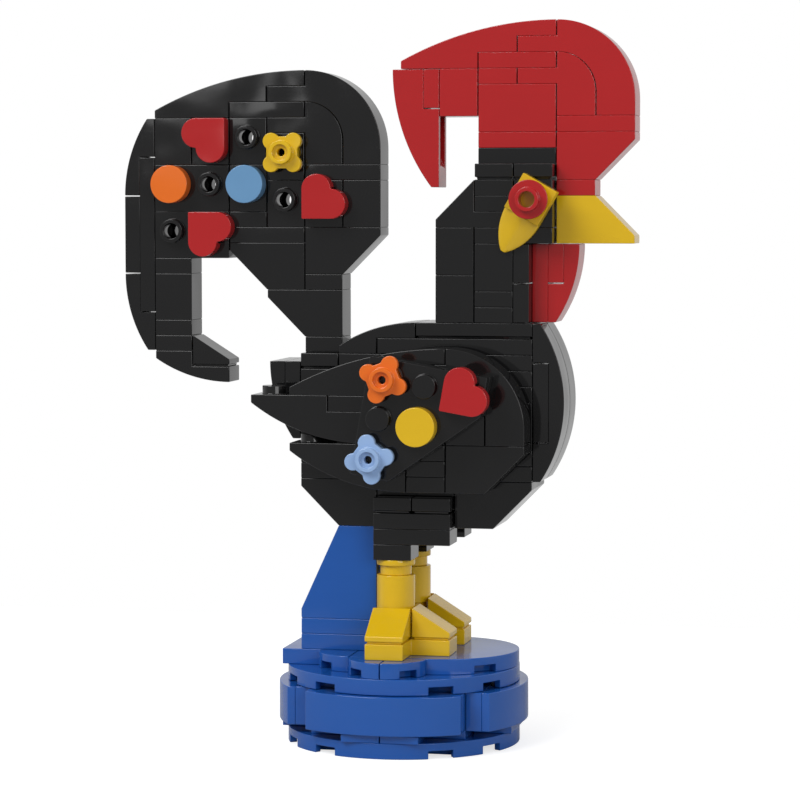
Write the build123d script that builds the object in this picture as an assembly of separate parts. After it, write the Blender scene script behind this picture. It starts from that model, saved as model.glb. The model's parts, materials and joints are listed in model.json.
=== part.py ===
"""Rooster of Barcelos built from studded interlocking bricks, on a round foot.

Millimetres, +Z up, +X towards the beak, -Y towards the viewer of the near side.
The origin is the centre of the foot's flat underside.
Every place is counted on the brick grid: columns of one stud pitch along X,
rows of one plate height along Z. Column 0 is the rear edge of the tail and
row 0 is the top of the tail, as the model is laid out.
"""
import math
import os
from build123d import *

HALF_SHARE = 0.5

# Driving sizes of the brick system
STUD = 8.0                   # pitch of the studs
PLATE_SHARE = 0.4            # a plate's height as a share of the pitch: five plates make two studs
PLATE = STUD * PLATE_SHARE
SIDE_PLAY = 0.1              # each brick is this much smaller than its cell, on each side
HALF_CELL = STUD * HALF_SHARE - SIDE_PLAY    # half width of a one-stud piece, or its radius
STUD_RADIUS_SHARE = 0.3      # studs clutch what lies between them, so they follow the pitch
STUD_RADIUS = STUD * STUD_RADIUS_SHARE
STUD_HEIGHT = 1.7
STUD_WALL = 0.8              # wall of a hollow stud
STUD_HOLE_RADIUS = STUD_RADIUS - STUD_WALL
FIT = 0.05                   # radial clearance of a stud in its socket
SOCKET_SPARE = 0.1           # depth left free above a stud
OVERRUN = 1.0                # how far a cutting tool reaches past the face it cuts

# Walls and edges of the bricks
BRICK_WALL = 1.2             # wall and roof of a brick that its hollow studs open into
SIDE_STUD_DROP = PLATE * 1.25    # depth of a side stud's axis below the top of its brick
LIP = PLATE * HALF_SHARE     # upright edge at the thin end of a slope
SLOPE_WALL = 1.5             # wall of a slope that shows its hollow underside
GROOVE_DEPTH = 0.4           # relief round the lower edge of a jumper plate or a toe
GROOVE_HEIGHT = 0.5

# Curved pieces
BOW_LENGTH = STUD * 4        # double curve, thin at both ends
BOW_HEIGHT = PLATE * 2
ARCH_RADIUS = STUD * 2       # outside of the outer arch
ARCH_HEIGHT = PLATE * 6
FILLER_HEIGHT = PLATE * 4    # quarter round inside the arch, with an arm on its left
FILLER_ARM_HIGH = PLATE * 3
FILLER_ARM_LOW = PLATE * 2

# Round pieces
ROUND_STEP = 0.7             # how far the collar of a round plate or brick lies inside its side
COLLAR_RADIUS = HALF_CELL - ROUND_STEP
COLLAR_SHARE = 0.625         # a collar's height as a share of a plate's
COLLAR_HEIGHT = PLATE * COLLAR_SHARE

# Decorations that turn on one stud
HEART_SIDE = 6.1             # side of the heart's square, whose two inner sides carry half discs
HEART_CORNER_RADIUS = 0.3
PETAL_RADIUS = 1.7
PETAL_REACH = 3.26           # from the flower's centre to a petal's centre
PETAL_THICKNESS = 1.6
FLOWER_HALF = 3.25           # half side of the square between the petals
FLOWER_HOLE_RADIUS = 0.8
HUB_RECESS = 0.9             # depth of the cup inside a flower's stud

# Eye
EYE_TURN = 30.0              # degrees, the claw points down and back
CLAW_LENGTH = 8.1
CLAW_TIP_HALF = 0.5
CLAW_BULGE = 3.15            # half width at the middle of the claw
CLAW_TIP_THICKNESS = 1.0
CLAW_FLANK = 1.3             # how far the claw's flanks fall away from its ridge
CLAW_SHOULDER_SHARES = (0.5, 0.35)   # a flank's middle: share of the half width, share of the fall

# Wing panel
PANEL_TURN = 10.0            # degrees
ORANGE_FLOWER_TURN = -31.0   # degrees on the panel
BLUE_FLOWER_TURN = 26.0

# Foot
FOOT_RADIUS = STUD * 3
FOOT_CORE_HALF = STUD * 2    # half side of the bricks inside the foot
NOTCH_WIDTH = 5.2
SMALL_NOTCH_WIDTH = 4.0
NOTCH_HEIGHT = PLATE * HALF_SHARE
RIM_WALL = 1.5

# Half widths across Y
NARROW = STUD * HALF_SHARE   # tail, comb, wattle and beak are one stud wide
WIDE = STUD                  # body and neck are two studs wide
THIGH = WIDE + NARROW
LEG_OFFSET = (THIGH + NARROW) / 2
BRACKET_WALL = PLATE * HALF_SHARE
WING_INNER = WIDE + BRACKET_WALL
WING_OUTER = WING_INNER + STUD
PANEL_SEAM = WING_OUTER + PLATE
PANEL_FACE = PANEL_SEAM + PLATE

# The grid: the foot's centre, and the rows from the ground to the top of the tail
CENTRE_COLUMN_SHARE = 6.5
GROUND_ROW_SHARE = 43.0

# Outlines in studs along and plates up
CREST_SHARES = (4, 3, [(2, 1), (3, 2)])
LONG_CURVE_SHARES = (3, 3, [(2, 1)])
SHORT_CURVE_SHARES = (2, 2, [(1, 1)])
INVERTED_SHARES = [(0, 0), (1, 0), (2, 2.5), (2, 3), (0, 3)]
BEAK_SHARES = [(0, 0), (2, 0), (2, 0.5), (1, 3), (0, 3)]
SUPPORT_SHARES = [(0, 0), (2, 0), (2, 6), (1, 6), (0, 0.6)]
NECK_SLOPE_SHARES = [(0, 0), (2, 0), (2, 1), (1, 1), (1, 3), (0, 0.5)]
TOE_SHARES = [(0, 0), (1, 0), (1, 0.47), (0, 2)]

# Ways of an outline's run and rise
RIGHT = (1, 0)
LEFT = (-1, 0)
UP = (0, 1)
DOWN = (0, -1)

# Places. A cell is (first column, last column, lower row, upper row), a place is (column, row)
TAIL_CREST_SHARES = (0, -3)
TAIL_ARCH_SHARES = (3, -6)
TAIL_STUD_BRICK_SHARES = [
    ((1, 2, -6, -3), [1.5]), ((2, 3, -6, -3), [2.5]), ((3, 4, -7, -4), [3.5]),
    ((0, 2, -9, -6), [0.5, 1.5]), ((2, 3, -9, -6), [2.5]), ((3, 4, -10, -7), [3.5]),
    ((4, 5, -10, -7), [4.5]), ((0, 2, -12, -9), [0.5, 1.5])]
TAIL_PLAIN_BRICK_SHARES = [(0, 1, -6, -3), (5, 6, -10, -7)]
TAIL_PLATE_SHARES = [(2, 4, -3, -2), (4, 6, -7, -6), (2, 3, -10, -9), (2, 4, -11, -10), (4, 5, -14, -13),
                     (4, 5, -18, -17)]
TAIL_COLUMN_SHARES = [(0, 1, -13, -12), (0, 1, -16, -13), (0, 1, -17, -16), (0, 1, -18, -17)]
TAIL_INVERTED_SHARES = [((4, -13), RIGHT), ((4, -14), LEFT), ((5, -17), LEFT)]
TAIL_TOE_SHARES = (1, -19)
TAIL_HOOK_SHARES = (0, -18)
TAIL_BACK_CELL_SHARES = [(-0.4, 0, -15.5, -5.5), (-0.8, -0.4, -13, -8)]
TAIL_BACK_CURVE_SHARES = [((0, -3), DOWN), ((0, -18), UP)]
TAIL_HEART_SHARES = {"top": (1.5, -4.25), "front": (4.5, -8.25), "low": (1.5, -10.25)}
TAIL_HEART_CORNERS = {"top": (1, 1), "front": (-1, -1), "low": (-1, 1)}
TAIL_FLOWER_SHARES = (3.5, -5.25)
TAIL_ORANGE_SHARES = (0.5, -7.25)
TAIL_BLUE_SHARES = (2.5, -7.25)

COMB_CREST_SHARES = (6.5, 0)
COMB_ARCH_SHARES = (9.5, -3)
COMB_BACK_CURVE_SHARES = (7.5, -7.5)
COMB_HOLLOW_SHARES = (6.5, 7.6, -7, -3)
COMB_PLATE_SHARES = [(8.5, 10.5, 0, 1), (8.5, 9.5, -1, 0), (8.5, 10.5, -5, -4), (10.5, 12.5, -4, -3),
                     (10.5, 11.5, -8, -7)]
COMB_BACK_CELL_SHARES = [(7.1, 7.5, -2.5, 0)]
COMB_BRICK_SHARES = [(8.5, 10.5, -4, -1), (7.5, 8.5, -3, 0)]
COMB_INVERTED_SHARES = (10.5, -7)
BEAK_PLACE_SHARES = (10.5, -11)

HEAD_PLATE_SHARES = [(8.5, 10.5, -6, -5)]
NECK_JUMPER_SHARES = [(8.5, 9.5, -7, -6), (9.5, 10.5, -7, -6)]
THROAT_CELL_SHARES = [(9.5, 9.9, -13.5, -11), (9.5, 9.9, -16, -13.5)]
NECK_PLATE_SHARES = [(8.5, 9.5, -8, -7), (8.5, 9.5, -9, -8), (8.5, 10.5, -11, -10), (8.5, 9.5, -15, -14),
                     (8.5, 9.5, -16, -15)]
NECK_SLOPE_PLACE_SHARES = (7.5, -10)
NECK_BRICK_SHARES = [(7.5, 8.5, -13, -10), (7.5, 8.5, -16, -13), (8.5, 9.5, -14, -11)]
EYE_BRICK_SHARES = (9.5, 10.5, -10, -7)
EYE_SHARES = (10, -8.25)
WATTLE_CELL_SHARES = [(9.9, 10.3, -16, -11), (10.3, 10.7, -13.5, -11)]
WATTLE_CURVE_SHARES = (10.3, -16)

BACK_JUMPER_SHARES = (7, 10, -17, -16)
TAIL_SEAT_SHARES = (4, 5, -19, -18)
BACK_CURVE_SHARES = (5, -18)
RUMP_CURVE_SHARES = (4, -23.5)
BODY_PLATE_SHARES = [(6, 10, -18, -17), (5, 10, -19, -18), (4, 10, -20, -19), (4, 10, -21, -20),
                     (4, 10, -25, -24), (4, 10, -26, -25), (6, 8, -27, -26)]
BODY_SIDE_CELL_SHARES = [(3.6, 4, -21, -18.5), (10, 10.4, -23.5, -18.5)]
BODY_BRICK_SHARES = [(4, 6, -24, -21), (6, 8, -24, -21), (8, 10, -24, -21)]
BELLY_INVERTED_SHARES = [((8, -29), RIGHT), ((6, -29), LEFT)]
BREAST_CURVE_SHARES = (10, -26)
THIGH_JUMPER_SHARES = [(6, 7, -28, -27), (7, 8, -28, -27)]
THIGH_BRIDGE_SHARES = [(6, 8, -29, -28)]
THIGH_PLATE_SHARES = [(6, 8, -30, -29), (6, 7, -31, -30)]

LEG_COLUMN_SHARE = 6.5
LEG_ROUND_ROW_SHARES = [(-32, -31), (-35, -32), (-36, -35)]
LEG_CORNER_SHARES = [(6, 8, -37, -36), (6, 7, -37, -36)]
LEG_TOE_SHARES = (7, -36)
SUPPORT_PLATE_SHARES = [(4, 6, -36, -35), (4, 6, -37, -36)]
SUPPORT_PLACE_SHARES = (4, -35)

WING_CREST_SHARES = (4, -20.5)
WING_INVERTED_SHARES = (8, -26.5)
WING_ARCH_SHARES = (7, -23.5)
WING_FEATHER_SHARES = [(3, -20.5), (4, -23.5)]
FEATHER_STUD_SHARES = [(3.5, -20.5), (4.5, -23.5)]
WING_PLATE_SHARES = [(6, 8, -20.5, -19.5), (5, 6, -21.5, -20.5), (7, 8, -22.5, -21.5), (7, 8, -23.5, -22.5),
                     (6, 8, -24.5, -23.5), (7, 8, -25.5, -24.5), (7, 8, -26.5, -25.5)]
WING_HUB_SHARES = (6, 7, -23.5, -20.5)
WING_STUD_SHARES = (6.5, -21.75)
BRACKET_SHARES = (5, 8, -23.5, -20.5)
PANEL_OUTLINE_SHARES = [(-0.5, 1.5), (2.5, 1.5), (2.5, 0.5), (0.5, -1.5), (-0.5, -1.5)]
PANEL_STUD_SHARES = [(0, 1), (1, 1), (2, 1), (0, 0), (1, 0), (0, -1)]
PANEL_ORANGE_SHARES = (0, 1)
PANEL_HEART_SHARES = (2, 1)
PANEL_HEART_CORNER = (-1, -1)
PANEL_TILE_SHARES = (1, 0)
PANEL_BLUE_SHARES = (0, -1)

FOOT_PLATE_ROW_SHARES = [-43, -39]
FOOT_NOTCH_ANGLES = [30, 60, 120, 150, 210, 240, 300, 330]
FOOT_SIDE_ANGLES = [0, 90, 180, 270]
FOOT_CURVE_ROW_SHARES = (-41.5, -39)
FOOT_BRICK_SHARES = [(4.5, 6.5, -42, -39), (6.5, 8.5, -42, -39)]
FOOT_PAD_SHARES = [(5.5, 6.5, -42, -41.5), (6.5, 7.5, -42, -41.5)]
FOOT_TOP_ROW_SHARES = (-38, -37)
FOOT_REAR_PLATE_SHARES = (3.5, 5.5, -38, -37)
FOOT_MIDDLE_TILE_SHARES = (5.5, 6.5, -38, -37)
FOOT_FRONT_COLUMN_SHARES = (6.5, 7.5)
FOOT_FRONT_ANGLES = [-45, 45]
# A quarter round: column of its square corner, studs from the middle to it, side, angle of its notch
FOOT_QUARTER_SHARES = [(5.5, 1, -1, 225), (6.5, 2, -1, 225), (6.5, 2, 1, 315)]


def col(share):
    """X of a grid column."""
    return (share - CENTRE_COLUMN_SHARE) * STUD


def row(share):
    """Z of a grid row."""
    return (share + GROUND_ROW_SHARE) * PLATE


def at(place_shares):
    """X and Z of a grid place."""
    return col(place_shares[0]), row(place_shares[1])


def box(x_low, x_high, y_low, y_high, z_low, z_high):
    """Box between two corners."""
    size = (x_high - x_low, y_high - y_low, z_high - z_low)
    middle = ((x_high + x_low) / 2, (y_high + y_low) / 2, (z_high + z_low) / 2)
    return Pos(*middle) * Box(*size)


def rod_y(x, z, y_low, y_high, radius):
    """Cylinder along Y."""
    return Pos(x, (y_low + y_high) / 2, z) * Rot(90, 0, 0) * Cylinder(radius, y_high - y_low)


def rod_z(x, y, z_low, z_high, radius):
    """Cylinder along Z."""
    return Pos(x, y, (z_low + z_high) / 2) * Cylinder(radius, z_high - z_low)


def far(solid):
    """The same piece on the far side of the model."""
    return mirror(solid, about=Plane.XZ)


def both(solids):
    """Near pieces with their far twins."""
    return solids + [far(solid) for solid in solids]


def brick(cell_shares, y_low, y_high):
    """Upright block in a cell, with play on the faces beside its stack."""
    first, last, low, high = cell_shares
    return box(col(first) + SIDE_PLAY, col(last) - SIDE_PLAY, y_low + SIDE_PLAY, y_high - SIDE_PLAY,
               row(low), row(high))


def bricks(cells_shares, half_width):
    """One upright block for each cell, all as wide as the body they belong to."""
    return [brick(cell, -half_width, half_width) for cell in cells_shares]


def side_plates(cells_shares, half_width):
    """Plates that stand on edge, stacked along X, with play above and below."""
    solids = []
    for first, last, low, high in cells_shares:
        solids.append(box(col(first), col(last), SIDE_PLAY - half_width, half_width - SIDE_PLAY,
                          row(low) + SIDE_PLAY, row(high) - SIDE_PLAY))
    return solids


def outline_face(steps):
    """Face of a closed outline. A step is a point, or an arc's middle and end point."""
    edges = []
    here = steps[0]
    for step in steps[1:] + [steps[0]]:
        end = step[-2:]
        if len(step) == 4:
            edges.append(ThreePointArc(here, step[:2], end))
        else:
            edges.append(Line(here, end))
        here = end
    return make_face(edges)


def slab(face, y_low, y_high):
    """Face in the XZ plane, extruded across Y."""
    return Pos(0, y_high, 0) * Rot(90, 0, 0) * extrude(face, amount=y_high - y_low)


def narrow(steps):
    """Slab one stud wide across the middle."""
    return slab(outline_face(steps), SIDE_PLAY - NARROW, NARROW - SIDE_PLAY)


def wide(steps):
    """Slab two studs wide across the middle."""
    return slab(outline_face(steps), SIDE_PLAY - WIDE, WIDE - SIDE_PLAY)


def winged(steps):
    """Slab as thick as a wing, on the near side."""
    return slab(outline_face(steps), SIDE_PLAY - WING_OUTER, -WING_INNER - SIDE_PLAY)


def turned(steps, corner, run_way, rise_way):
    """Outline of runs and rises set at a corner. A way is a unit vector."""
    result = []
    for step in steps:
        flat = []
        for run, rise in zip(step[0::2], step[1::2]):
            flat += [corner[0] + run_way[0] * run + rise_way[0] * rise,
                     corner[1] + run_way[1] * run + rise_way[1] * rise]
        result.append(tuple(flat))
    return result


def laid(steps, place_shares, run_way, rise_way):
    """Outline of runs and rises set at a grid place."""
    return turned(steps, at(place_shares), run_way, rise_way)


def steep(steps_shares):
    """Runs and rises of a straight outline, with play at its two ends."""
    longest = max(run for run, rise in steps_shares)
    result = []
    for run, rise in steps_shares:
        inward = SIDE_PLAY if run == 0 else (-SIDE_PLAY if run == longest else 0.0)
        result.append((run * STUD + inward, rise * PLATE))
    return result


def curve(shape_shares):
    """Runs and rises of a curved slope, thin end first, its underside stepped at the ledges."""
    studs, plates, ledge_shares = shape_shares
    length = studs * STUD
    height = plates * PLATE
    steps = [(SIDE_PLAY, 0)]
    level = 0
    for studs_along, plates_up in ledge_shares:
        edge = studs_along * STUD - SIDE_PLAY
        steps += [(edge, level), (edge, plates_up * PLATE)]
        level = plates_up * PLATE
    # The arc leaves the thick end level and drops to the lip
    drop = height - LIP
    radius = (length * length + drop * drop) / (2 * drop)
    half_angle = math.asin(length / radius) / 2
    middle = (length - radius * math.sin(half_angle), height - radius * (1 - math.cos(half_angle)))
    steps += [(length - SIDE_PLAY, level), (length - SIDE_PLAY, height), (*middle, SIDE_PLAY, LIP)]
    return steps


def bow():
    """Runs and rises of the double curve, its thin ends stepped below."""
    start, end = SIDE_PLAY, BOW_LENGTH - SIDE_PLAY
    inner = STUD - SIDE_PLAY
    return [(start, 0), (inner, 0), (inner, PLATE), (BOW_LENGTH - inner, PLATE), (BOW_LENGTH - inner, 0),
            (end, 0), (end, LIP), (BOW_LENGTH / 2, BOW_HEIGHT, start, LIP)]


def round_corner(run, rise, radius):
    """Middle point of a quarter circle to the upper right of its centre."""
    reach = radius * math.sqrt(HALF_SHARE)
    return run + reach, rise + reach


def arch():
    """Runs and rises of the outer arch, three studs long, open below for its filler."""
    shoulder = STUD + SIDE_PLAY
    right = STUD + ARCH_RADIUS - SIDE_PLAY
    inside = STUD + shoulder
    outer_rise = ARCH_HEIGHT - ARCH_RADIUS
    inner_rise = FILLER_HEIGHT - STUD
    arm = FILLER_HEIGHT + PLATE
    return [(SIDE_PLAY, FILLER_HEIGHT), (SIDE_PLAY, arm), (shoulder, arm), (shoulder, ARCH_HEIGHT),
            (*round_corner(STUD, outer_rise, ARCH_RADIUS), right, outer_rise), (right, 0), (inside, 0),
            (inside, inner_rise), (*round_corner(shoulder, inner_rise, STUD), shoulder, FILLER_HEIGHT)]


def filler():
    """Runs and rises of the quarter round that fills the arch, with its arm."""
    shoulder = STUD + SIDE_PLAY
    radius = STUD - SIDE_PLAY
    rise = FILLER_HEIGHT - radius
    return [(SIDE_PLAY, FILLER_ARM_LOW), (SIDE_PLAY, FILLER_ARM_HIGH), (shoulder, FILLER_ARM_HIGH),
            (shoulder, FILLER_HEIGHT), (*round_corner(STUD, rise, radius), STUD + radius, rise),
            (STUD + radius, 0), (shoulder, 0), (shoulder, FILLER_ARM_LOW)]


def hollow(steps, cell_shares):
    """Inside of a narrow slab of that outline, one wall in from its faces, where it lies in the cell."""
    inside = offset(outline_face(steps), amount=-SLOPE_WALL)
    cavity = slab(inside, SLOPE_WALL - NARROW, NARROW - SLOPE_WALL)
    first, last, low, high = cell_shares
    cell = box(col(first), col(last), -NARROW, NARROW, row(low), row(high))
    mouth = Pos(SLOPE_WALL + OVERRUN, 0, 0) * cavity
    return (cavity + mouth) & cell


def groove(x_low, x_high, y_low, y_high, z_low):
    """Cut round the lower edge of a piece that fills this stretch of its cell."""
    inset = SIDE_PLAY + GROOVE_DEPTH
    z_high = z_low + GROOVE_HEIGHT
    core = box(x_low + inset, x_high - inset, y_low + inset, y_high - inset, z_low, z_high)
    return box(x_low, x_high, y_low, y_high, z_low, z_high) - core


def jumper(cell_shares, y_low, y_high):
    """Plate with a groove round its lower edge."""
    first, last, low, high = cell_shares
    return brick(cell_shares, y_low, y_high) - groove(col(first), col(last), y_low, y_high, row(low))


def toe():
    """Short slope that falls to +X, its thick end at the origin, with a groove round its lower edge."""
    return narrow(steep(TOE_SHARES)) - groove(0, STUD, -NARROW, NARROW, 0)


def stud_brick(cell_shares, stud_column_shares):
    """Tail brick with hollow studs on both sides, which open into a chamber behind each pair."""
    body = brick(cell_shares, -NARROW, NARROW)
    low, high = row(cell_shares[2]), row(cell_shares[3])
    level = high - SIDE_STUD_DROP
    reach = NARROW + STUD_HEIGHT
    room = HALF_CELL - BRICK_WALL
    for column in stud_column_shares:
        body += rod_y(col(column), level, -reach, reach, STUD_RADIUS)
    for column in stud_column_shares:
        x = col(column)
        body -= box(x - room, x + room, -room, room, low + BRICK_WALL, high - BRICK_WALL)
        body -= rod_y(x, level, -reach - OVERRUN, reach + OVERRUN, STUD_HOLE_RADIUS)
    return body


def round_socket(x, z, y_back):
    """Cut for a stud, in a near-side piece whose back is at y_back."""
    return rod_y(x, z, y_back - STUD_HEIGHT - SOCKET_SPARE, y_back + OVERRUN, STUD_RADIUS + FIT)


def square_socket(x, z, y_back):
    """Cut with four flat walls that clutch a stud."""
    half = STUD_RADIUS + FIT
    return box(x - half, x + half, y_back - STUD_HEIGHT - SOCKET_SPARE, y_back + OVERRUN, z - half, z + half)


def heart(place, y_back, corner_way):
    """Heart tile on a near-side stud. corner_way points from the stud to the heart's square corner."""
    way_x, way_z = corner_way
    half = HEART_SIDE * HALF_SHARE
    corner_x, corner_z = way_x * HALF_CELL, way_z * HALF_CELL
    face = Pos(corner_x - way_x * half, corner_z - way_z * half) * Rectangle(HEART_SIDE, HEART_SIDE)
    tip = max(face.vertices(), key=lambda corner: way_x * corner.X + way_z * corner.Y)
    face = fillet(tip, HEART_CORNER_RADIUS)
    face += Pos(corner_x - way_x * HEART_SIDE, corner_z - way_z * half) * Circle(half)
    face += Pos(corner_x - way_x * half, corner_z - way_z * HEART_SIDE) * Circle(half)
    body = slab(face, -PLATE, 0) - square_socket(0, 0, 0)
    return Pos(place[0], y_back, place[1]) * body


def flower(place, y_back, turn=0.0):
    """Four-petal flower with a cupped stud and a hole right through, on a near-side stud."""
    diagonal = PETAL_REACH * math.sqrt(HALF_SHARE)
    face = Rectangle(FLOWER_HALF + FLOWER_HALF, FLOWER_HALF + FLOWER_HALF)
    for way_x in (-1, 1):
        for way_z in (-1, 1):
            face += Pos(way_x * diagonal, way_z * diagonal) * Circle(PETAL_RADIUS)
    front = -PLATE - STUD_HEIGHT
    body = slab(face, -PLATE, PETAL_THICKNESS - PLATE)
    body += rod_y(0, 0, -PLATE, 0, COLLAR_RADIUS)
    body += rod_y(0, 0, front, -PLATE, STUD_RADIUS)
    body -= rod_y(0, 0, front - OVERRUN, front + HUB_RECESS, STUD_HOLE_RADIUS)
    body -= rod_y(0, 0, front - OVERRUN, 0, FLOWER_HOLE_RADIUS)
    body -= round_socket(0, 0, 0)
    return Pos(place[0], y_back, place[1]) * Rot(0, turn, 0) * body


def round_tile(place, y_back):
    """Round tile on a near-side stud."""
    body = rod_y(0, 0, -PLATE, 0, HALF_CELL) - round_socket(0, 0, 0)
    return Pos(place[0], y_back, place[1]) * body


def claw():
    """Square plate with a pointed, ridged claw below it and a stud in front, at the eye's pivot."""
    half = HALF_CELL
    tip = -half - CLAW_LENGTH
    middle = -half - CLAW_LENGTH / 2
    plan = [(half, -half), (CLAW_BULGE, middle, CLAW_TIP_HALF, tip), (-CLAW_TIP_HALF, tip),
            (-CLAW_BULGE, middle, -half, -half)]
    blade = slab(outline_face(plan), -PLATE, 0)
    # The section has a ridge in the middle and falls in an arc to each flank, leaning towards the tip
    shoulder_x = half * CLAW_SHOULDER_SHARES[0]
    shoulder_y = CLAW_FLANK * CLAW_SHOULDER_SHARES[1] - PLATE
    flank = CLAW_FLANK - PLATE
    section = [(half, PLATE), (half, flank), (shoulder_x, shoulder_y, 0, -PLATE),
               (-shoulder_x, shoulder_y, -half, flank), (-half, PLATE)]
    lean = (0, PLATE - CLAW_TIP_THICKNESS, -CLAW_LENGTH)
    sweep_length = math.hypot(PLATE - CLAW_TIP_THICKNESS, CLAW_LENGTH)
    tooth = Pos(0, 0, -half) * extrude(outline_face(section), amount=sweep_length, dir=lean)
    body = box(-half, half, -PLATE, 0, -half, half) + (blade & tooth)
    body += rod_y(0, 0, -PLATE - STUD_HEIGHT, -PLATE, STUD_RADIUS)
    return body - square_socket(0, 0, 0)


def eye_disc():
    """Round plate with a hollow stud, seated on the claw plate's stud."""
    front = -PLATE - PLATE
    body = rod_y(0, 0, front, -PLATE - COLLAR_HEIGHT, HALF_CELL)
    body += rod_y(0, 0, front, -PLATE, COLLAR_RADIUS)
    body += rod_y(0, 0, front - STUD_HEIGHT, front, STUD_RADIUS)
    body -= rod_y(0, 0, front - STUD_HEIGHT - OVERRUN, -PLATE, STUD_HOLE_RADIUS)
    return body - round_socket(0, 0, -PLATE)


def on_eye(solid):
    """Piece of the eye, turned and moved to its pivot on the head's side."""
    x, z = at(EYE_SHARES)
    return Pos(x, -WIDE, z) * Rot(0, EYE_TURN, 0) * solid


def on_panel(solid):
    """Piece laid out on the wing's panel, turned and moved to the panel's pivot."""
    x, z = at(WING_STUD_SHARES)
    return Pos(x, 0, z) * Rot(0, PANEL_TURN, 0) * solid


def panel_place(shares):
    """Run and rise of a stud of the panel, from the panel's pivot."""
    return shares[0] * STUD, shares[1] * STUD


def panel():
    """The two plates of the near panel, with studs in front and the pivot's socket behind."""
    outline = [panel_place(shares) for shares in PANEL_OUTLINE_SHARES]
    face = offset(outline_face(outline), amount=-SIDE_PLAY)
    back = slab(face, -PANEL_SEAM, -WING_OUTER) - square_socket(0, 0, -WING_OUTER)
    front = slab(face, -PANEL_FACE, -PANEL_SEAM)
    for shares in PANEL_STUD_SHARES:
        front += rod_y(*panel_place(shares), -PANEL_FACE - STUD_HEIGHT, -PANEL_FACE, STUD_RADIUS)
    return [on_panel(back), on_panel(front)]


def feather(place_shares):
    """Inverted curved slope of the wing, with its stud on top."""
    return winged(laid(curve(LONG_CURVE_SHARES), place_shares, RIGHT, DOWN))


def feather_stud(place_shares, radius, height):
    """Upright stud on the middle of the wing, or the cut for one."""
    x, z = at(place_shares)
    return rod_z(x, -(WING_INNER + WING_OUTER) / 2, z, z + height, radius)


def feathers():
    """The two feathers: the lower one's stud sits in the upper one's socket."""
    upper, lower = [feather(place) for place in WING_FEATHER_SHARES]
    upper_stud, lower_stud = FEATHER_STUD_SHARES
    upper += feather_stud(upper_stud, STUD_RADIUS, STUD_HEIGHT)
    upper -= feather_stud(lower_stud, STUD_RADIUS + FIT, STUD_HEIGHT + SOCKET_SPARE)
    lower += feather_stud(lower_stud, STUD_RADIUS, STUD_HEIGHT)
    return [upper, lower]


def wing_core():
    """Plates and side-stud brick inside the near wing, with the bracket that joins them to the body."""
    solids = [brick(cell, -WING_OUTER, -WING_INNER) for cell in WING_PLATE_SHARES]
    hub = brick(WING_HUB_SHARES, -WING_OUTER, -WING_INNER)
    hub += rod_y(*at(WING_STUD_SHARES), -WING_OUTER - STUD_HEIGHT, -WING_INNER - BRICK_WALL, STUD_RADIUS)
    first, last, low, high = BRACKET_SHARES
    return solids + [hub, box(col(first), col(last), -WING_INNER, -WIDE, row(low), row(high))]


def eye_brick():
    """Brick of the near half of the head, with the stud that the eye turns on."""
    body = brick(EYE_BRICK_SHARES, -WIDE, 0)
    return body + rod_y(*at(EYE_SHARES), -WIDE - STUD_HEIGHT, -NARROW, STUD_RADIUS)


def round_piece(x, y, z_low, z_high):
    """One-stud round plate or brick, on a narrower collar."""
    return rod_z(x, y, z_low + COLLAR_HEIGHT, z_high, HALF_CELL) + rod_z(x, y, z_low, z_high, COLLAR_RADIUS)


def leg():
    """Near leg: two round plates and a round brick, over a corner plate with two sloped toes."""
    x = col(LEG_COLUMN_SHARE)
    solids = [round_piece(x, -LEG_OFFSET, row(low), row(high)) for low, high in LEG_ROUND_ROW_SHARES]
    front_arm, side_arm = LEG_CORNER_SHARES
    solids.append(brick(front_arm, -THIGH, -NARROW) + brick(side_arm, -THIGH - STUD, -NARROW))
    toe_x, toe_z = at(LEG_TOE_SHARES)
    solids.append(Pos(toe_x, -LEG_OFFSET, toe_z) * toe())
    solids.append(Pos(x, -THIGH, toe_z) * Rot(0, 0, -90) * toe())
    return solids


def notch(radius, angle, z_low, width):
    """Cutting block through a round rim's lower edge."""
    block = box(radius - RIM_WALL - OVERRUN, radius + OVERRUN, -width / 2, width / 2, z_low - OVERRUN,
                z_low + NOTCH_HEIGHT)
    return Rot(0, 0, angle) * block


def foot_plate(z_low):
    """Six-stud round plate: rim, hollow segments round the core, and notches in the lower edge."""
    radius = FOOT_RADIUS - SIDE_PLAY
    core = FOOT_CORE_HALF
    z_hollow = z_low + NOTCH_HEIGHT
    body = rod_z(0, 0, z_low, z_low + PLATE, radius)
    segments = rod_z(0, 0, z_low - OVERRUN, z_hollow, radius - RIM_WALL)
    body -= segments - box(-core, core, -core, core, z_low - OVERRUN, z_hollow)
    for angle in FOOT_NOTCH_ANGLES:
        body -= notch(radius, angle, z_low, NOTCH_WIDTH)
    return body


def quarter(corner_column_share, studs_out_share, way_x, angle):
    """Quarter-round tile of the foot's top on the near side."""
    radius = STUD - SIDE_PLAY
    low, high = [row(share) for share in FOOT_TOP_ROW_SHARES]
    side = box(SIDE_PLAY, STUD, -STUD, -SIDE_PLAY, low, high)
    if way_x < 0:
        side = mirror(side, about=Plane.YZ)
    body = (rod_z(0, 0, low, high, radius) & side) - notch(radius, angle, low, SMALL_NOTCH_WIDTH)
    return Pos(col(corner_column_share), -STUD * studs_out_share, 0) * body


def foot_front():
    """Half-round tile of the foot's top."""
    low, high = [row(share) for share in FOOT_TOP_ROW_SHARES]
    start, centre = [col(share) for share in FOOT_FRONT_COLUMN_SHARES]
    radius = FOOT_CORE_HALF - SIDE_PLAY
    body = box(start + SIDE_PLAY, centre, -radius, radius, low, high)
    body += rod_z(centre, 0, low, high, radius) & box(centre, centre + radius, -radius, radius, low, high)
    for angle in FOOT_FRONT_ANGLES:
        body -= Pos(centre, 0, 0) * notch(radius, angle, low, NOTCH_WIDTH)
    return body


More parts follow.
